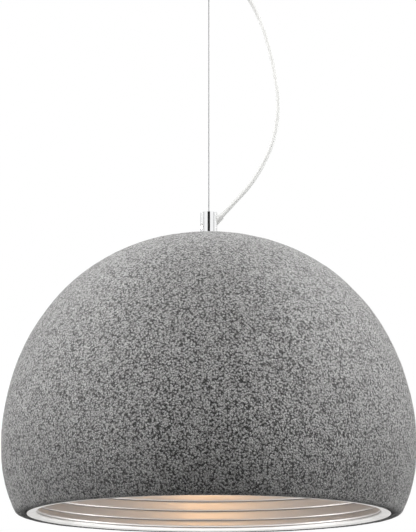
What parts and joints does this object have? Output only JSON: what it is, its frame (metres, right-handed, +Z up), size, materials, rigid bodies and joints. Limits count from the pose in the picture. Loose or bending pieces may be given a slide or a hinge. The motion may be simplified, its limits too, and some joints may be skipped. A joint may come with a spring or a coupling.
{
  "type": "pendant ceiling light",
  "caption": "Dome pendant light: felt-covered shade with a ribbed reflector and screw-in lamp, hung on a steel wire from a ceiling canopy with a push-release gripper and a clear power cord.",
  "frame": {"origin": "where the bracket meets the ceiling, on the suspension wire's line", "axes": "+Z up along the wire, +X towards the side that the power cord bows out to"},
  "size_m": [0.6, 0.5998, 0.83],
  "materials": {
    "zinc": "satin zinc plating",
    "chrome": "mirror polished",
    "brass": "plain",
    "wire_steel": "stranded, bright",
    "clear_plastic": "clear, slightly milky",
    "white_plastic": "smooth",
    "black_plastic": "fine matt",
    "brown_sleeve": "smooth",
    "blue_sleeve": "smooth",
    "earth_sleeve": "smooth, green with yellow stripe",
    "felt": "thick pressed wool felt, speckled",
    "padding": "needled padding",
    "shell": "moulded",
    "reflector": "satin, ribbed",
    "dark_steel": "black oxide",
    "satin_ring": "satin polished",
    "white_paint": "smooth satin paint",
    "ceramic": "unglazed steatite",
    "nickel": "nickel plated",
    "opal": "opal, lit warm white",
    "led": "phosphor"
  },
  "bodies": {
    "ceiling": {"ceiling_bracket": "zinc", "bracket_nipple": "brass", "nipple_nuts": "zinc", "canopy": "chrome", "cord_bush": "clear_plastic", "cord_bush_nut": "white_plastic", "terminal_block": "white_plastic", "terminal_inserts": "brass", "terminal_screws": "zinc", "block_screw": "zinc", "earth_screw": "brass", "ceiling_lead_live": "brown_sleeve", "ceiling_lead_neutral": "blue_sleeve", "ceiling_lead_earth": "earth_sleeve", "gripper_body": "chrome", "gripper_spring": "zinc", "wire_tail": "wire_steel"},
    "gripper_release": {"gripper_plunger": "chrome", "gripper_balls": "zinc"},
    "pendant": {"suspension_wire": "wire_steel", "wire_stop": "nickel", "power_cord": "clear_plastic", "cord_sleeve": "clear_plastic", "cord_grip": "nickel", "stem_tube": "chrome", "stem_insert": "dark_steel", "stem_screw": "nickel", "stem_nut": "zinc", "stem_end_plug": "zinc", "hub_top_plate": "zinc", "hub_bottom_plate": "zinc", "hub_screws": "zinc", "shade_felt": "felt", "shade_core": "padding", "shade_shell": "shell", "rim_ring": "satin_ring", "reflector": "reflector", "reflector_washer": "white_paint", "stem_lead_live": "brown_sleeve", "stem_lead_neutral": "blue_sleeve", "stem_lead_earth": "earth_sleeve", "earth_lug": "brass", "holder_tube": "chrome", "holder_cap": "black_plastic", "holder_skirt": "black_plastic", "holder_core": "ceramic", "holder_thread": "brass", "holder_contact": "brass", "holder_terminals": "brass"},
    "bulb": {"lamp_cap": "nickel", "lamp_insulator": "black_plastic", "lamp_tip": "nickel", "lamp_housing": "white_plastic", "led_board": "white_paint", "led_chips": "led", "lamp_diffuser": "opal"}
  },
  "joints": [
    {"name": "pendant_swing", "type": "hinge", "parent": "ceiling", "child": "pendant", "pos_m": [0, 0, -0.058], "axis": [0, 1, 0], "range_deg": [-10, 10], "deforming": ["power_cord"]},
    {"name": "gripper_release", "type": "slide", "parent": "ceiling", "child": "gripper_release", "axis": [0, 0, 1], "range_m": [0, 0.0025], "stiffness_N_per_m": 400, "springref_m": -0.004, "deforming": ["gripper_spring"]},
    {"name": "bulb_turn", "type": "hinge", "parent": "pendant", "child": "bulb", "pos_m": [0, 0, -0.6], "axis": [0, 0, -1], "range_deg": [0, 900]}
  ]
}
